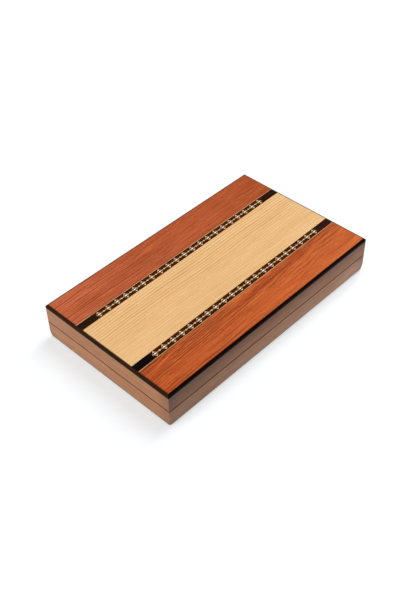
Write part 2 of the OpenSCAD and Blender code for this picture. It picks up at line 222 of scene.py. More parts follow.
def build_fibres(net, given):
    """Fine straight streaks along the first axis, which wander a little."""
    sooner_across = 3.0
    faintest, strongest = 0.32, 0.68
    x, y, z = net.split(given["Place"])
    reach = given["Wander Length"]
    drift_at = net.stretched(given["Place"], reach, net.math("DIVIDE", reach, sooner_across))
    drift = net.sway(drift_at, given["Wander"], detail=1.0)
    drifted = net.vector(x, net.math("ADD", y, drift), net.math("ADD", z, drift))
    value = net.noise(net.stretched(drifted, given["Length"], given["Width"]), detail=3.0, roughness=0.6)
    return {"Streaks": net.ramp(value, faintest, strongest)}


def build_growth(net, given):
    """Growth lines along the first axis: each darkens, then ends sharply. They differ in strength as much as
    Variety says, and Width is the dark share of each."""
    lines_alike = 4.0
    darkest, end = 0.88, 0.9
    same_along, next_line = 110.0, 3.7
    weakest, full = 0.36, 0.62
    x, y, z = net.split(given["Place"])
    spacing, reach = given["Spacing"], given["Wander Length"]
    drift = net.sway(net.stretched(given["Place"], reach, reach), given["Wander"])
    across = net.joined("ADD", y, z, drift)
    uneven_at = net.vector(0.0, net.math("DIVIDE", across, net.math("MULTIPLY", spacing, lines_alike)))
    uneven = net.math("MULTIPLY", net.noise(uneven_at), given["Uneven"])
    phase = net.math("ADD", net.math("DIVIDE", across, spacing), uneven)
    turn = net.math("FRACT", phase)
    rising = net.ramp(turn, net.inverse(given["Width"]), darkest)
    line = net.math("MULTIPLY", rising, net.fall(turn, end, 1.0))
    line_number = net.math("FLOOR", phase)
    each_at = net.vector(net.math("DIVIDE", x, same_along), net.math("MULTIPLY", line_number, next_line))
    weak = net.fall(net.noise(each_at), weakest, full)
    each = net.inverse(net.math("MULTIPLY", weak, given["Variety"]))
    return {"Lines": net.math("MULTIPLY", line, each)}


def build_pores(net, given):
    """Short dark dashes along the first axis."""
    soft_end = 0.08
    value = net.noise(net.stretched(given["Place"], given["Length"], given["Width"]), detail=1.0)
    return {"Pores": net.ramp(value, given["Rarity"], net.math("ADD", given["Rarity"], soft_end))}


def build_clouds(net, given):
    """Soft broad patches, longer along the first axis."""
    faintest, strongest = 0.3, 0.7
    value = net.noise(net.stretched(given["Place"], given["Length"], given["Width"]), roughness=0.55)
    return {"Clouds": net.ramp(value, faintest, strongest)}


def build_film(net, given):
    """The unevenness of a lacquer film: soft cloudy gloss, faint waves and dust nibs."""
    clouds_per_mm, waves_per_mm, nibs_per_mm = 0.02, 0.35, 1.7
    wave_height, nib_dullness = 0.5, 0.12
    nib_from, nib_all = 0.72, 0.8
    cloud = net.sway(net.scaled(given["Place"], clouds_per_mm), given["Cloud"], detail=3.0)
    waves = net.noise(net.scaled(given["Place"], waves_per_mm))
    nibs = net.ramp(net.noise(net.scaled(given["Place"], nibs_per_mm), detail=1.0), nib_from, nib_all)
    return {
        "Roughness": net.joined("ADD", given["Roughness"], cloud, net.math("MULTIPLY", nibs, nib_dullness)),
        "Height": net.math("ADD", net.math("MULTIPLY", waves, wave_height), nibs),
    }


def build_rubbed(net, given):
    """Where hands rub: along the edges of a box, broken up. The piece's own place is taken, unturned."""
    patches_per_mm = 0.06
    worn_from, worn_all = 0.38, 0.66
    x, y, z = net.split(given["Place"])
    to_end = net.math("SUBTRACT", given["Half Length"], net.math("ABSOLUTE", x))
    to_side = net.math("SUBTRACT", given["Half Width"], net.math("ABSOLUTE", y))
    to_foot = net.math("SUBTRACT", z, given["Low"])
    to_level = net.math("MINIMUM", to_foot, net.math("SUBTRACT", given["High"], z))
    total = net.joined("ADD", to_end, to_side, to_level)
    farthest = net.joined("MAXIMUM", to_end, to_side, to_level)
    near_edge = net.fall(net.math("SUBTRACT", total, farthest), 0.0, given["Reach"])
    patches = net.noise(net.scaled(given["Place"], patches_per_mm), detail=4.0, roughness=0.65)
    return {"Rubbed": net.math("MULTIPLY", near_edge, net.ramp(patches, worn_from, worn_all))}


fibres = effect("wood fibres", build_fibres, ["Streaks"],
                {"Length": 60.0, "Width": 0.8, "Wander": 4.0, "Wander Length": 160.0})
growth = effect("growth lines", build_growth, ["Lines"],
                {"Spacing": 4.0, "Uneven": 3.0, "Wander": 20.0, "Wander Length": 220.0, "Width": 0.7,
                 "Variety": 0.9})
pores = effect("open pores", build_pores, ["Pores"], {"Length": 5.0, "Width": 0.25, "Rarity": 0.62})
clouds = effect("soft patches", build_clouds, ["Clouds"], {"Length": 200.0, "Width": 16.0})
film = effect("lacquer film", build_film, ["Roughness", "Height"], {"Roughness": 0.35, "Cloud": 0.15})
rubbed = effect("rubbed edges", build_rubbed, ["Rubbed"],
                {"Half Length": HALF_LENGTH, "Half Width": HALF_WIDTH, "Low": 0.0, "High": TOP, "Reach": 2.0})


# Materials

LACQUER_IOR = 1.5
GLUE_DARKEST = 0.55
GLUE_GONE = 1.55


class Finish(Net):
    """A material with one Principled BSDF, and the piece's own millimetres as its texture space."""

    def __init__(self, name, specular=0.5):
        self.material = bpy.data.materials.new(name)
        self.material.use_nodes = True
        super().__init__(self.material.node_tree)
        self.tree.nodes.clear()
        self.shader = self.node("ShaderNodeBsdfPrincipled")
        self.shader.inputs["IOR"].default_value = LACQUER_IOR
        self.shader.inputs["Specular IOR Level"].default_value = specular
        self.node("ShaderNodeOutputMaterial", {"Surface": self.shader.outputs[0]})

    def here(self):
        """Place on the piece in millimetres, in the case's own axes."""
        return self.scaled(self.node("ShaderNodeTexCoord").outputs["Object"], 1 / MM)

    def grain(self, along="X", shift=(0.0, 0.0, 0.0), slant=0.0):
        """Place in millimetres, turned so that the grain's axis comes first, and moved to another part of the
        log. Grain along X may climb by a slant."""
        x, y, z = self.split(self.here())
        if slant:
            y = self.math("MULTIPLY_ADD", x, -slant, y)
        turned = {"X": (x, y, z), "Y": (y, x, z), "Z": (z, x, y)}[along]
        return self.vector(*(self.math("ADD", axis, offset) for axis, offset in zip(turned, shift)))

    def inward(self):
        """Distance in from the case's outer faces in millimetres."""
        x, y, _ = self.split(self.here())
        return self.math("MINIMUM", self.math("SUBTRACT", HALF_LENGTH, self.math("ABSOLUTE", x)),
                         self.math("SUBTRACT", HALF_WIDTH, self.math("ABSOLUTE", y)))

    def glue_line(self, base):
        """Darkens a veneer where it meets the black edging in front and on the left."""
        x, y, _ = self.split(self.here())
        from_edge = self.math("MINIMUM", self.math("ADD", x, HALF_LENGTH), self.math("ADD", y, HALF_WIDTH))
        line = self.fall(from_edge, EDGING_WIDE + GLUE_DARKEST, EDGING_WIDE + GLUE_GONE)
        return self.tint(base, line, 0.85, srgb(44, 24, 12))

    def tint(self, base, mask, strength, colour):
        """Lays a colour over the base where the mask is, as strongly as said."""
        return self.mix(self.math("MULTIPLY", mask, strength), base, colour)

    def bump(self, height, strength, depth):
        """The normal of a surface with a height, of so many millimetres at most."""
        made = self.node("ShaderNodeBump", {"Height": height, "Strength": strength, "Distance": depth * MM})
        return made.outputs["Normal"]

    def set(self, colour, roughness, normal, metallic=0.0):
        """Gives the shader what it shows, and returns the finished material."""
        self.feed(self.shader.inputs["Base Color"], colour)
        self.feed(self.shader.inputs["Roughness"], roughness)
        self.feed(self.shader.inputs["Metallic"], metallic)
        self.feed(self.shader.inputs["Normal"], normal)
        return self.material

    def lacquer(self, base, at, dips, roughness=0.34):
        """Finishes wood: a satin film that dips, and is duller, where the wood is open."""
        dullness, strength, depth = 0.12, 0.14, 0.05
        gloss = self.group(film, Place=at, Roughness=roughness)
        height = self.math("SUBTRACT", gloss["Height"], dips)
        rough = self.math("ADD", gloss["Roughness"], self.math("MULTIPLY", dips, dullness))
        return self.set(base, rough, self.bump(height, strength, depth))


def padauk(name, left, right, shift=(0.0, 0.0, 0.0), marked=1.0, slant=0.0, calm=None, bold=None):
    """Red-orange veneer, of one tone at the left end and another at the right: close dark lines at the left,
    broad soft figure at the right, open pores. Marked says how strongly, and slant how fast the grain climbs.
    The lines may grow from a calm side to a bold one, each given as a distance across the case."""
    open_until, close_from = 90.0, -150.0
    calmest, boldest = 0.6, 1.4
    wood = Finish(name, specular=0.3)
    at = wood.grain(shift=shift, slant=slant)
    x, y, _ = wood.split(wood.here())
    if calm is not None:
        marked = wood.ramp(y, calm, bold, calmest * marked, boldest * marked)
    close = wood.ramp(x, open_until, close_from)
    patches = wood.mask(clouds, at, Length=170.0, Width=13.0)
    bands = wood.mask(clouds, at, Length=330.0, Width=26.0)
    lines = wood.mask(growth, at, Spacing=4.2, Wander=13.0, Wander_Length=260.0)
    figure = wood.mask(growth, at, Spacing=8.0, Wander=60.0, Wander_Length=150.0)
    streaks = wood.mask(fibres, at, Length=90.0, Width=1.5, Wander=9.0)
    flecks = wood.mask(fibres, at, Length=40.0, Width=1.2, Wander=5.0)
    fine = wood.mask(fibres, at, Length=40.0, Width=0.45, Wander=6.0)
    dashes = wood.mask(pores, at, Length=7.0, Width=0.28, Rarity=0.60)
    line_red = srgb(100, 26, 9)

    def marks(base, mask, strength, colour):
        """Lays on a colour as strongly as the whole veneer is marked."""
        return wood.tint(base, mask, wood.math("MULTIPLY", marked, strength), colour)

    base = wood.mix(wood.ramp(x, -HALF_LENGTH, HALF_LENGTH, smooth=False), left, right)
    base = marks(base, patches, 0.35, srgb(178, 64, 26))
    base = marks(base, wood.ramp(bands, 0.5, 0.9), 0.4, srgb(146, 44, 16))
    base = marks(base, wood.math("MULTIPLY", figure, wood.inverse(close)), 0.45, srgb(136, 42, 16))
    base = marks(base, lines, wood.ramp(close, 0.0, 1.0, 0.25, 1.1), line_red)
    base = marks(base, wood.ramp(streaks, 0.62, 1.0), wood.ramp(close, 0.0, 1.0, 0.5, 0.85), line_red)
    base = marks(base, wood.ramp(flecks, 0.66, 1.0), 0.5, srgb(116, 34, 14))
    base = marks(base, wood.ramp(flecks, 0.3, 0.0), 0.35, srgb(240, 142, 76))
    base = wood.tint(base, fine, 0.25, srgb(230, 128, 58))
    base = wood.tint(base, dashes, 0.5, srgb(88, 26, 12))
    return wood.lacquer(wood.glue_line(base), at, dashes)


def oak(name, shift=(0.0, 0.0, 0.0)):
    """Pale veneer: even wavy growth lines towards the back, finer ones in front, fibres and short pores."""
    finer_until, even_from = -25.0, 30.0
    wood = Finish(name, specular=0.25)
    at = wood.grain(shift=shift)
    toward_back = wood.ramp(wood.split(wood.here())[1], finer_until, even_from)
    patches = wood.mask(clouds, at, Length=260.0, Width=22.0)
    lines = wood.mask(growth, at, Spacing=5.2, Uneven=1.0, Wander=26.0, Wander_Length=330.0, Width=0.55,
                      Variety=0.35)
    close_lines = wood.mask(growth, at, Spacing=3.0, Uneven=1.6, Wander=16.0, Wander_Length=240.0, Width=0.6,
                            Variety=0.5)
    streaks = wood.mask(fibres, at, Length=90.0, Width=2.2, Wander=9.0)
    fine = wood.mask(fibres, at, Length=50.0, Width=0.55, Wander=6.0)
    dashes = wood.mask(pores, at, Length=6.0, Width=0.25, Rarity=0.60)
    base = wood.mix(patches, srgb(243, 194, 134), srgb(237, 184, 122))
    base = wood.tint(base, lines, wood.ramp(toward_back, 0.0, 1.0, 0.35, 1.0), srgb(200, 136, 70))
    base = wood.tint(base, close_lines, wood.ramp(toward_back, 0.0, 1.0, 0.7, 0.3), srgb(202, 142, 80))
    base = wood.tint(base, wood.ramp(streaks, 0.4, 0.0), 0.25, srgb(252, 224, 176))
    base = wood.tint(base, fine, 0.35, srgb(252, 222, 172))
    base = wood.tint(base, dashes, 0.4, srgb(170, 116, 62))
    return wood.lacquer(wood.glue_line(base), at, dashes)


PALE_BROWN = (190, 132, 96)


def walnut(name, along="X", shift=(0.0, 0.0, 0.0), pale=PALE_BROWN, upper_shade=0.0, left_shade=0.0, ends=(0.0, 0.0),
           foot_shade_and_reflection=1.0, low=0.0, high=TOP):
    """Plain brown wood of the rails, with painted shade in the chamfers along the seam, and rubbed pale along
    the edges. It may have painted shade towards its top edge and over its left half, be darker at its two
    mitres, and have a painted shadow and a painted grey floor reflection at its bottom, each as much as its
    argument says. Its part of the case goes from low to high."""
    wood = Finish(name, specular=0.28)
    at = wood.grain(along, shift)

    def tone(*colour):
        """A colour as said for the usual pale brown, in this piece's own tone."""
        return srgb(*(level * own / usual for level, own, usual in zip(colour, pale, PALE_BROWN)))

    patches = wood.mask(clouds, at, Length=150.0, Width=9.0)
    lines = wood.mask(growth, at, Spacing=4.0, Wander=22.0, Wander_Length=240.0)
    flecks = wood.mask(fibres, at, Length=26.0, Width=1.8, Wander=4.0)
    fine = wood.mask(fibres, at, Length=40.0, Width=0.6, Wander=4.0)
    dashes = wood.mask(pores, at, Length=4.0, Width=0.18, Rarity=0.62)
    base = wood.mix(patches, tone(172, 116, 82), tone(190, 132, 96))
    base = wood.tint(base, lines, 0.35, tone(136, 84, 54))
    base = wood.tint(base, wood.ramp(flecks, 0.66, 1.0), 0.4, tone(142, 90, 60))
    base = wood.tint(base, wood.ramp(flecks, 0.3, 0.0), 0.3, tone(214, 158, 118))
    base = wood.tint(base, fine, 0.3, tone(208, 150, 110))
    base = wood.tint(base, dashes, 0.4, tone(112, 72, 48))

    # Painted shade towards the top edge and over the left half, darker mitres, and a painted shadow and
    # painted floor reflection at the bottom, with reaches in millimetres from the middle of the case, from a
    # mitre and from the bottom
    left_from = 60.0
    mitre_darkest, low_mitre_gone, high_mitre_gone = 4.0, 30.0, 28.0
    foot_reflection_reach, foot_shadow_reach = (5.0, 14.0), (1.5, 6.0)
    shade = srgb(70, 46, 36)
    x, y, height = wood.split(wood.here())
    run, half = (x, HALF_LENGTH) if along == "X" else (y, HALF_WIDTH)
    # Painted shade, darker towards the top edge
    base = wood.tint(base, wood.ramp(height, low, high, smooth=False), upper_shade, srgb(76, 42, 24))
    # Painted shade over the left half, fading out towards the middle of the case
    base = wood.tint(base, wood.ramp(x, left_from, -HALF_LENGTH), left_shade, shade)
    base = wood.tint(base, wood.fall(run, mitre_darkest - half, low_mitre_gone - half), ends[0], shade)
    base = wood.tint(base, wood.ramp(run, half - high_mitre_gone, half - mitre_darkest), ends[1], shade)
    # Painted grey floor reflection a little above the bottom, and a painted shadow right at the bottom
    base = wood.tint(base, wood.fall(height, *foot_reflection_reach), 0.35 * foot_shade_and_reflection, srgb(124, 116, 112))
    base = wood.tint(base, wood.fall(height, *foot_shadow_reach), 0.45 * foot_shade_and_reflection, srgb(74, 56, 44))

    # Wear along the edges, and painted shade in the chamfers that face each other across the seam
    chamfer_high, chamfer_deep = (0.75, 1.45), (0.5, 1.0)
    edge = wood.mask(rubbed, wood.here(), Low=low, High=high, Reach=1.6)
    base = wood.tint(base, edge, 0.3, tone(214, 160, 120))
    off_seam = wood.math("ABSOLUTE", wood.math("SUBTRACT", height, SEAM))
    outermost = wood.fall(wood.inward(), *chamfer_deep)
    seam_shade = wood.math("MULTIPLY", wood.fall(off_seam, *chamfer_high), outermost)
    base = wood.tint(base, seam_shade, 1.0, srgb(60, 20, 5))
    return wood.lacquer(base, at, dashes, roughness=0.46)


def close_ground(wood, at, dark, light, fine_length, broad_length, broad_width):
    """Close grain between two tones, and how far its film dips."""
    fine = wood.mask(fibres, at, Length=fine_length, Width=0.5, Wander=3.0)
    broad = wood.mask(fibres, at, Length=broad_length, Width=broad_width, Wander=8.0)
    base = wood.mix(wood.math("MULTIPLY", wood.math("ADD", fine, broad), 0.5), dark, light)
    return base, wood.math("MULTIPLY", wood.inverse(fine), 0.4)


def close_grained(name, dark, light, along="X", specular=0.25):
    """Close-grained wood between two tones: the ground and the pale inlay, the dice and checkers."""
    wood = Finish(name, specular)
    at = wood.grain(along)
    base, dips = close_ground(wood, at, dark, light, fine_length=30.0, broad_length=90.0, broad_width=3.0)
    return wood.lacquer(base, at, dips, roughness=0.36)


def ebony(name, dark, light, along="X", specular=0.05, worn=0.25, right_end=0.0, arris_highlight=0.0):
    """Black wood with a warm brown cast, brown where the case's top edges are rubbed, which also stands in for
    a painted highlight there. It may be browner towards its right end, and have a painted highlight over the
    rounding of its top edge, each as much as its argument says."""
    arris_from, arris_all = TOP - 2.6, TOP - 1.0
    wood = Finish(name, specular)
    at = wood.grain(along)
    base, dips = close_ground(wood, at, dark, light, fine_length=36.0, broad_length=110.0, broad_width=2.6)
    x, _, height = wood.split(wood.here())
    base = wood.tint(base, wood.ramp(x, -HALF_LENGTH, HALF_LENGTH), right_end, srgb(76, 38, 20))
    # Painted highlight over the rounding of the top edge
    base = wood.tint(base, wood.ramp(height, arris_from, arris_all), arris_highlight, srgb(124, 84, 66))
    # Wear along the top edges, which also stands in for a painted highlight there
    edge = wood.mask(rubbed, wood.here(), Low=EDGING_LOW, Reach=2.4)
    base = wood.tint(base, edge, worn, srgb(70, 44, 30))
    return wood.lacquer(base, at, dips)


def metal(name, colour, worn, roughness):
    """Bright metal with fine rubbed lines and dull patches."""
    made = Finish(name)
    at = made.here()
    lines = made.mask(fibres, at, Length=12.0, Width=0.12, Wander=1.0)
    dull = made.mask(clouds, at, Length=9.0, Width=5.0)
    line_dullness = made.math("MULTIPLY", lines, 0.12)
    patch_dullness = made.math("MULTIPLY", dull, 0.15)
    rough = made.joined("ADD", line_dullness, patch_dullness, roughness)
    scratched = made.bump(lines, strength=0.1, depth=0.02)
    return made.set(made.mix(dull, colour, worn), rough, scratched, metallic=0.85)


def pip_paint(name):
    """Dark paint in the pips of the dice."""
    made = Finish(name, specular=0.3)
    at = made.here()
    patches = made.mask(clouds, at, Length=2.0, Width=2.0)
    gloss = made.group(film, Place=at, Roughness=0.4)
    colour = made.mix(patches, srgb(22, 16, 14), srgb(40, 30, 26))
    return made.set(colour, gloss["Roughness"], made.bump(gloss["Height"], strength=0.1, depth=0.03))


# Pieces

def dress(material, *names):
    """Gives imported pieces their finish."""
    for name in names:
        piece = nodes[name]
        piece.data.materials.clear()
        piece.data.materials.append(material)


WELD = 1e-6
FLAT = math.radians(0.5)
SHARP = math.radians(28)
NEARLY = 0.01


def stand_in(node, ending, mesh, *materials):
    """A piece of the scene's own in place of a packed one, with the same place and body."""
    for material in materials:
        mesh.materials.append(material)
    made = bpy.data.objects.new(f"{node}_{ending}", mesh)
    bpy.context.scene.collection.objects.link(made)
    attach(made, nodes[node]["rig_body"])
    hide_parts(node)
    return made


def welded(node):
    """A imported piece's shape with its doubled points joined, shaded smooth."""
    work = bmesh.new()
    work.from_mesh(nodes[node].data)
    bmesh.ops.remove_doubles(work, verts=work.verts, dist=WELD)
    for face in work.faces:
        face.material_index = 0
        face.smooth = True
    return work


def is_mitre(face):
    """Whether a face is the slanting end of a rail, where it meets the next one."""
    across, place = face.normal, face.calc_center_median()
    diagonal = abs(across.z) < NEARLY and abs(abs(across.x) - abs(across.y)) < NEARLY
    return diagonal and across.x * across.y * place.x * place.y < 0


def softened(node, *materials, width, segments=2, mark=None):
    """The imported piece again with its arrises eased, as sandpaper leaves them. Mitres stay tight. Where it
    has more than one material, mark(work) says which face takes which."""
    work = welded(node)
    if mark is not None:
        mark(work)
    bmesh.ops.dissolve_limit(work, angle_limit=FLAT, verts=work.verts, edges=work.edges, delimit={"MATERIAL"})
    eased = work.edges.layers.float.new("bevel_weight_edge")
    for edge in work.edges:
        if len(edge.link_faces) == 2 and edge.calc_face_angle() > SHARP:
            edge.smooth = False
            edge[eased] = 0.0 if any(is_mitre(face) for face in edge.link_faces) else 1.0
    mesh = bpy.data.meshes.new(node + "_eased")
    work.to_mesh(mesh)
    work.free()
    made = stand_in(node, "eased", mesh, *materials)
    easing = made.modifiers.new("eased edges", "BEVEL")
    easing.width = width * MM
    easing.segments = segments
    easing.limit_method = "WEIGHT"
    easing.harden_normals = True
    seen = made.evaluated_get(bpy.context.evaluated_depsgraph_get())
    made.data = bpy.data.meshes.new_from_object(seen)
    made.modifiers.clear()


dress(padauk("red veneer front", srgb(200, 88, 37), srgb(224, 114, 58), marked=1.1, slant=0.035, calm=-125.0,
             bold=-80.0), "front_red_veneer")
dress(padauk("red veneer back", srgb(212, 110, 76), srgb(170, 76, 36), shift=(530.0, 47.0, 0.0), marked=0.75),
      "back_red_veneer")
dress(padauk("red points", srgb(208, 102, 48), srgb(208, 102, 48), shift=(910.0, 13.0, 0.0)),
      "base_points_red", "lid_points_red")
dress(oak("pale veneer"), "centre_veneer")
dress(oak("pale field", shift=(700.0, 31.0, 0.0)), "base_field", "lid_field", "lid_panel")
dress(walnut("brown panel", shift=(90.0, 60.0, 0.0), foot_shade_and_reflection=0.0), "base_panel")
dress(ebony("black wood front", srgb(6, 4, 3), srgb(24, 16, 12), right_end=0.36), "front_band_ends")
dress(ebony("black wood", srgb(26, 13, 6), srgb(56, 30, 15)), "back_band_ends", "base_points_black",
      "lid_points_black")
dress(close_grained("band ground", srgb(43, 18, 2), srgb(78, 36, 5), specular=0.05), "front_band_ground",
      "back_band_ground")
dress(close_grained("cream inlay", srgb(230, 180, 124), srgb(252, 209, 154)), "front_band_diamonds",
      "back_band_diamonds")
dress(close_grained("cream lines", srgb(198, 156, 112), srgb(222, 184, 138)), "front_string_line",
      "back_string_line")
dress(close_grained("white inlay", srgb(250, 234, 216), srgb(255, 247, 232)), "front_band_lozenges",
      "back_band_lozenges")

# The front rails have painted shade towards their top edge and over their left half
rail_wood = {
    "base_front_rail": walnut("brown base front", shift=(40.0, 0.0, 7.0), pale=(201, 144, 106), upper_shade=0.27,
                              left_shade=0.23, ends=(0.0, 0.34), high=SEAM),
    "base_back_rail": walnut("brown base back", shift=(610.0, 0.0, 31.0), ends=(0.2, 0.2), high=SEAM),
    "base_left_rail": walnut("brown base left", along="Y", shift=(330.0, 0.0, 3.0), pale=(196, 136, 94),
                             ends=(0.3, 0.22), high=SEAM),
    "base_right_rail": walnut("brown base right", along="Y", shift=(820.0, 0.0, 19.0), ends=(0.2, 0.2),
                              high=SEAM),
    "lid_front_rail": walnut("brown lid front", shift=(200.0, 0.0, 53.0), pale=(174, 114, 71), upper_shade=0.85,
                             left_shade=0.27, ends=(0.3, 0.0), low=SEAM),
    "lid_back_rail": walnut("brown lid back", shift=(450.0, 0.0, 11.0), ends=(0.2, 0.2), low=SEAM),
    "lid_left_rail": walnut("brown lid left", along="Y", shift=(70.0, 0.0, 47.0), pale=(185, 126, 86),
                            ends=(0.32, 0.08), low=SEAM),
    "lid_right_rail": walnut("brown lid right", along="Y", shift=(560.0, 0.0, 29.0), ends=(0.2, 0.2),
                             low=SEAM),
}
for name, wood in rail_wood.items():
    softened(name, wood, width=0.3)

inside_wood = walnut("brown inside", shift=(140.0, 20.0, 5.0))
across_wood = walnut("brown inside across", along="Y", shift=(260.0, 20.0, 5.0))
for half in ("base", "lid"):
    softened(half + "_divider", inside_wood, width=0.8, segments=3)
    softened(half + "_partitions", across_wood, width=0.8, segments=3)

# The four strips are one black wood; their different tones, the front strip darkest and the back and right
# ones palest, are painted light and shade
for side, dark, light, along, arris_highlight in (
    ("front", srgb(11, 3, 0), srgb(26, 10, 4), "X", 0.0),
    ("back", srgb(34, 21, 14), srgb(56, 38, 27), "X", 0.4),
    ("left", srgb(28, 15, 6), srgb(50, 31, 17), "Y", 0.08),
    ("right", srgb(34, 21, 14), srgb(56, 38, 27), "Y", 0.4),
):
    black_wood = ebony(side + " black edging", dark, light, along, specular=0.02, worn=0.12, arris_highlight=arris_highlight)
    softened(side + "_edging", black_wood, width=0.15)

brass = metal("brass", srgb(232, 188, 104), srgb(186, 144, 78), roughness=0.18)
for side in ("left", "right"):
    softened(side + "_hinge_base_leaf", brass, width=0.12)
    softened(side + "_hinge_lid_leaf", brass, width=0.12)
    softened(side + "_hinge_pin", brass, width=0.2)
softened("base_hinge_screws", brass, width=0.08)
softened("lid_hinge_screws", brass, width=0.08)

nickel = metal("nickel", srgb(205, 205, 208), srgb(150, 150, 152), roughness=0.15)
softened("base_magnets", nickel, width=0.3)
softened("lid_magnets", nickel, width=0.3)


# Checkers: turned discs with a sunk middle, a bead round it and a cut ring. Sizes in millimetres

CHECKER_T = 10.0
CHECKER_COUNT = 15
CHECKER_SIDES = 64
DISH_FLAT = 9.0
DISH_SIDE = 10.0
DISH_DEPTH = 0.8
DISH_ROUND = 0.5
BEAD_RADIUS = 11.0
BEAD_WIDTH = 1.2
BEAD_HEIGHT = 0.25
RING_RADIUS = 14.0
RING_HALF = 0.5
RING_DEPTH = 0.35
FACE_DEPTH = 0.05
RIM_ROUND = 1.0
TURNED_SHARP = math.radians(40)


def turned_profile(radius):
    """Half of a checker's section as (radius, depth below the face), from the middle of a face to its rim."""
    points = [(0.0, DISH_DEPTH), (DISH_FLAT, DISH_DEPTH)]
    points += [(DISH_SIDE + DISH_ROUND * math.sin(turn), DISH_DEPTH - DISH_ROUND * (1 - math.cos(turn)))
               for turn in (0.3, 0.8, 1.2)]
    points += [(BEAD_RADIUS + BEAD_WIDTH * share,
                BEAD_HEIGHT - BEAD_HEIGHT * math.sin(math.pi * (0.5 + share / 2) - 0.5))
               for share in (0.1, 0.5, 0.9)]
    points += [(RING_RADIUS - RING_HALF, FACE_DEPTH), (RING_RADIUS - RING_HALF / 2, RING_DEPTH),
               (RING_RADIUS + RING_HALF / 2, RING_DEPTH), (RING_RADIUS + RING_HALF, FACE_DEPTH)]
    points += [(radius - RIM_ROUND * (1 - math.sin(turn)), RIM_ROUND * (1 - math.cos(turn)))
               for turn in (0.0, 0.35, 0.75, 1.15, math.pi / 2)]
    return points


def turned_checker(work, middle, radius):
    """Adds one checker to a mesh: the profile of each face, turned about an axis along X."""
    x, y, z = middle
    side = turned_profile(radius)
    outline = [(r, depth - CHECKER_T / 2) for r, depth in side]
    outline += [(r, CHECKER_T / 2 - depth) for r, depth in side[::-1]]

    def point(r, offset, turn):
        """A new point of the mesh, at a distance from the axis and a turn about it."""
        place = (x + offset, y + r * math.cos(turn), z + r * math.sin(turn))
        return work.verts.new([value * MM for value in place])

    rings = []
    for r, offset in outline:
        count = CHECKER_SIDES if r > 0.0 else 1
        rings.append([point(r, offset, 2 * math.pi * k / CHECKER_SIDES) for k in range(count)])
    for a, b in zip(rings, rings[1:]):
        for k in range(CHECKER_SIDES):
            n = (k + 1) % CHECKER_SIDES
            corners = [a[k % len(a)], a[n % len(a)], b[n % len(b)], b[k % len(b)]]
            face = work.faces.new(list(dict.fromkeys(corners)))
            face.smooth = True


def turned_checkers(node, material):
    """A row of turned checkers in place of a packed one."""
    low, high = box_mm(node)
    radius = (high[2] - low[2]) / 2
    pitch = (high[0] - low[0] - CHECKER_T) / (CHECKER_COUNT - 1)
    first = low[0] + CHECKER_T / 2
    work = bmesh.new()
    for i in range(CHECKER_COUNT):
        turned_checker(work, (first + i * pitch, (low[1] + high[1]) / 2, low[2] + radius), radius)
    bmesh.ops.recalc_face_normals(work, faces=work.faces)
    mesh = bpy.data.meshes.new(node + "_turned")
    work.to_mesh(mesh)
    work.free()
    mesh.set_sharp_from_angle(angle=TURNED_SHARP)
    stand_in(node, "turned", mesh, material)


turned_checkers("light_checkers",
                close_grained("pale checkers", srgb(214, 176, 118), srgb(230, 196, 142), along="Z"))
turned_checkers("dark_checkers",
                close_grained("dark checkers", srgb(34, 20, 14), srgb(60, 36, 24), along="Z"))


# Dice: cubes with eased corners and painted pips. A pip's faces lie within a share of the half side from the
# middle, at least so many millimetres deep, and look outward

PIPS_WITHIN = 0.72
PIP_SUNK = 0.02
PIP_FACING = 0.5


def islands(work):
    """The separate solids of a mesh, each as a set of its points."""
    left = set(work.verts)
    found = []
    while left:
        grown, edge = set(), [left.pop()]
        while edge:
            point = edge.pop()
            grown.add(point)
            for link in point.link_edges:
                other = link.other_vert(point)
                if other in left:
                    left.discard(other)
                    edge.append(other)
        found.append(grown)
    return found


def paint_pips(work):
    """Gives the second material to the faces that lie below the flat sides of each die."""
    for points in islands(work):
        faces = {face for point in points for face in point.link_faces}
        upright = [face for face in faces if abs(face.normal.z) < NEARLY]
        side = max(upright, key=lambda face: face.calc_area()).normal
        turn = Matrix.Rotation(-math.atan2(side.y, side.x), 3, "Z")
        lows = [min(point.co[axis] for point in points) for axis in range(3)]
        highs = [max(point.co[axis] for point in points) for axis in range(3)]
        middle = Vector([(a + b) / 2 for a, b in zip(lows, highs)])
        half = (highs[2] - lows[2]) / 2
        for face in faces:
            local = turn @ (face.calc_center_median() - middle)
            off = turn @ face.normal
            outer = max(range(3), key=lambda axis: abs(local[axis]))
            sunk = abs(local[outer]) < half - PIP_SUNK * MM
            within = max(abs(local[axis]) for axis in range(3) if axis != outer) < half * PIPS_WITHIN
            if sunk and within and abs(off[outer]) > PIP_FACING:
                face.material_index = 1


ivory = close_grained("ivory dice", srgb(232, 224, 204), srgb(240, 232, 214))
softened("dice", ivory, pip_paint("pip paint"), width=0.3, mark=paint_pips)


# Floor: white to the camera and in reflections, with the board's shadow. Sizes in metres

FLOOR_SIZE = 14.0
FLOOR_DROP = 0.1 * MM
FLOOR_PAINT = (0.62, 0.62, 0.62, 1.0)
FLOOR_NEAR = 0.45
FLOOR_FAR = 1.1
FLOOR_GLOW = 0.565
FLOOR_SHADE = 0.5
FLOOR_TINT = (0.94, 1.0, 1.04)
WHITE = (1.0, 1.0, 1.0, 1.0)


def plane(name, size, height):
    """A square sheet round the origin, at a height."""
    half = size / 2
    corners = [(-half, -half, height), (half, -half, height), (half, half, height), (-half, half, height)]
    mesh = bpy.data.meshes.new(name)
    mesh.from_pydata(corners, [], [(0, 1, 2, 3)])
    made = bpy.data.objects.new(name, mesh)
    bpy.context.scene.collection.objects.link(made)
    return made


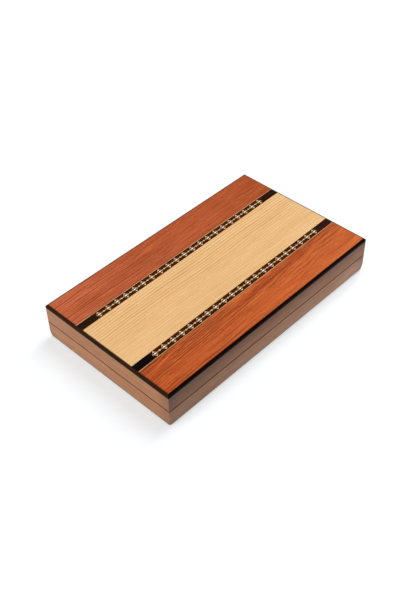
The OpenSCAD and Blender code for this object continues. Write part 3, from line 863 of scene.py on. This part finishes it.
def stage_material():
    """To the eye and in reflections the floor glows, fully far out but only in part near the board, where
    paint takes its shadow. All other light meets plain grey paint."""
    material = bpy.data.materials.new("floor")
    material.use_nodes = True
    net = Net(material.node_tree)
    net.tree.nodes.clear()
    path = net.node("ShaderNodeLightPath").outputs
    seen = net.joined("MAXIMUM", path["Is Camera Ray"], path["Is Glossy Ray"], path["Is Transmission Ray"])
    spot = net.node("ShaderNodeTexCoord").outputs["Object"]
    distance = net.node("ShaderNodeVectorMath", {0: spot}, operation="LENGTH").outputs["Value"]
    away = net.ramp(distance, FLOOR_NEAR, FLOOR_FAR)
    shade = net.ramp(away, 0.0, 1.0, FLOOR_SHADE, 0.0)
    glow = net.ramp(away, 0.0, 1.0, FLOOR_GLOW, 1.0)
    cool = net.vector(*(net.math("MULTIPLY", shade, share) for share in FLOOR_TINT))
    paint = net.node("ShaderNodeBsdfDiffuse", {"Color": FLOOR_PAINT}).outputs[0]
    seen_paint = net.node("ShaderNodeBsdfDiffuse", {"Color": cool}).outputs[0]
    seen_glow = net.node("ShaderNodeEmission", {"Color": WHITE, "Strength": glow}).outputs[0]
    lit = net.node("ShaderNodeAddShader", {0: seen_paint, 1: seen_glow}).outputs[0]
    both = net.node("ShaderNodeMixShader", {0: seen, 1: paint, 2: lit}).outputs[0]
    net.node("ShaderNodeOutputMaterial", {"Surface": both})
    return material


# The floor lies a hair below the board, so that the two never share a plane
floor = plane("floor", FLOOR_SIZE, -FLOOR_DROP)
floor.data.materials.append(stage_material())


# Lamps

CENTRE = Vector((0.0, 0.0, TOP * MM / 2))


def softbox(name, place, size, watts, colour=(1.0, 1.0, 1.0)):
    """A soft lamp aimed at the board, and kept out of reflections, so that gloss never hides the inlay."""
    lamp = bpy.data.lights.new(name, "AREA")
    lamp.shape = "RECTANGLE"
    lamp.size, lamp.size_y = size
    lamp.energy = watts
    lamp.color = colour
    made = bpy.data.objects.new(name, lamp)
    made.location = place
    made.rotation_euler = (CENTRE - Vector(place)).to_track_quat("-Z", "Y").to_euler()
    made.visible_glossy = False
    bpy.context.scene.collection.objects.link(made)


softbox("key", (1.6, 0.14, 3.04), (1.2, 2.4), watts=77.0)
softbox("left fill", (-1.9, 0.3, 0.9), (1.2, 1.2), watts=20.0)
softbox("right fill", (1.3, -1.08, 0.56), (0.72, 0.72), watts=7.4, colour=(0.9, 0.99, 1.1))


# Room: white for the eye, and an even dim light on the board. In reflections it is white at the horizon and
# dim above, with a bright panel overhead. Heights run from 0 at the horizon to 1 straight above

AMBIENT = 0.26
HORIZON_UNTIL = 0.1
CEILING_FROM = 0.38
PANEL_FROM = 0.88
PANEL_ALL = 0.95
MIRRORED_HORIZON = 1.0
MIRRORED_CEILING = 0.08
MIRRORED_PANEL = 0.6

world = bpy.data.worlds.new("studio")
world.use_nodes = True
bpy.context.scene.world = world
sky = Net(world.node_tree)
sky.tree.nodes.clear()
rays = sky.node("ShaderNodeLightPath").outputs
rise = sky.split(sky.node("ShaderNodeTexCoord").outputs["Generated"])[2]
room = sky.math("ADD", sky.ramp(rise, HORIZON_UNTIL, CEILING_FROM, MIRRORED_HORIZON, MIRRORED_CEILING),
                sky.ramp(rise, PANEL_FROM, PANEL_ALL, 0.0, MIRRORED_PANEL))
mirrored = sky.math("MULTIPLY", rays["Is Glossy Ray"], room)
seen = sky.joined("MAXIMUM", rays["Is Camera Ray"], mirrored, rays["Is Transmission Ray"])
unseen = sky.inverse(sky.math("MAXIMUM", rays["Is Camera Ray"], rays["Is Glossy Ray"]))
strength = sky.math("ADD", seen, sky.math("MULTIPLY", unseen, AMBIENT))
backdrop = sky.node("ShaderNodeBackground", {"Color": WHITE, "Strength": strength})
sky.node("ShaderNodeOutputWorld", {"Surface": backdrop.outputs[0]})


# Camera: fitted to the straight edges of the case in the photograph

AZIMUTH = math.radians(-45.366)
ELEVATION = math.radians(44.037)
ROLL = math.radians(-1.387)
FOCAL_PX = 899.15
FRAME_PX = (401, 601)
SENSOR_MM = 36.0
CASE_LENGTH = 2 * HALF_LENGTH * MM
DISTANCE = 3.21282 * CASE_LENGTH
ASIDE = -0.03975 * CASE_LENGTH
ABOVE = 0.00478 * CASE_LENGTH

level = Vector((math.cos(AZIMUTH), math.sin(AZIMUTH), 0.0))
back = Vector((
    math.sin(AZIMUTH) * math.cos(ELEVATION),
    -math.cos(AZIMUTH) * math.cos(ELEVATION),
    math.sin(ELEVATION),
))
upright = back.cross(level)
right = level * math.cos(ROLL) + upright * math.sin(ROLL)
up = upright * math.cos(ROLL) - level * math.sin(ROLL)
lens = bpy.data.cameras.new("camera")
lens.sensor_width = SENSOR_MM
lens.lens = FOCAL_PX * SENSOR_MM / max(FRAME_PX)
camera = bpy.data.objects.new("camera", lens)
turned = Matrix((right, up, back)).transposed().to_4x4()
camera.matrix_world = Matrix.Translation(back * DISTANCE + right * ASIDE + up * ABOVE) @ turned
bpy.context.scene.collection.objects.link(camera)
bpy.context.scene.camera = camera
bpy.context.scene.view_settings.view_transform = "Standard"
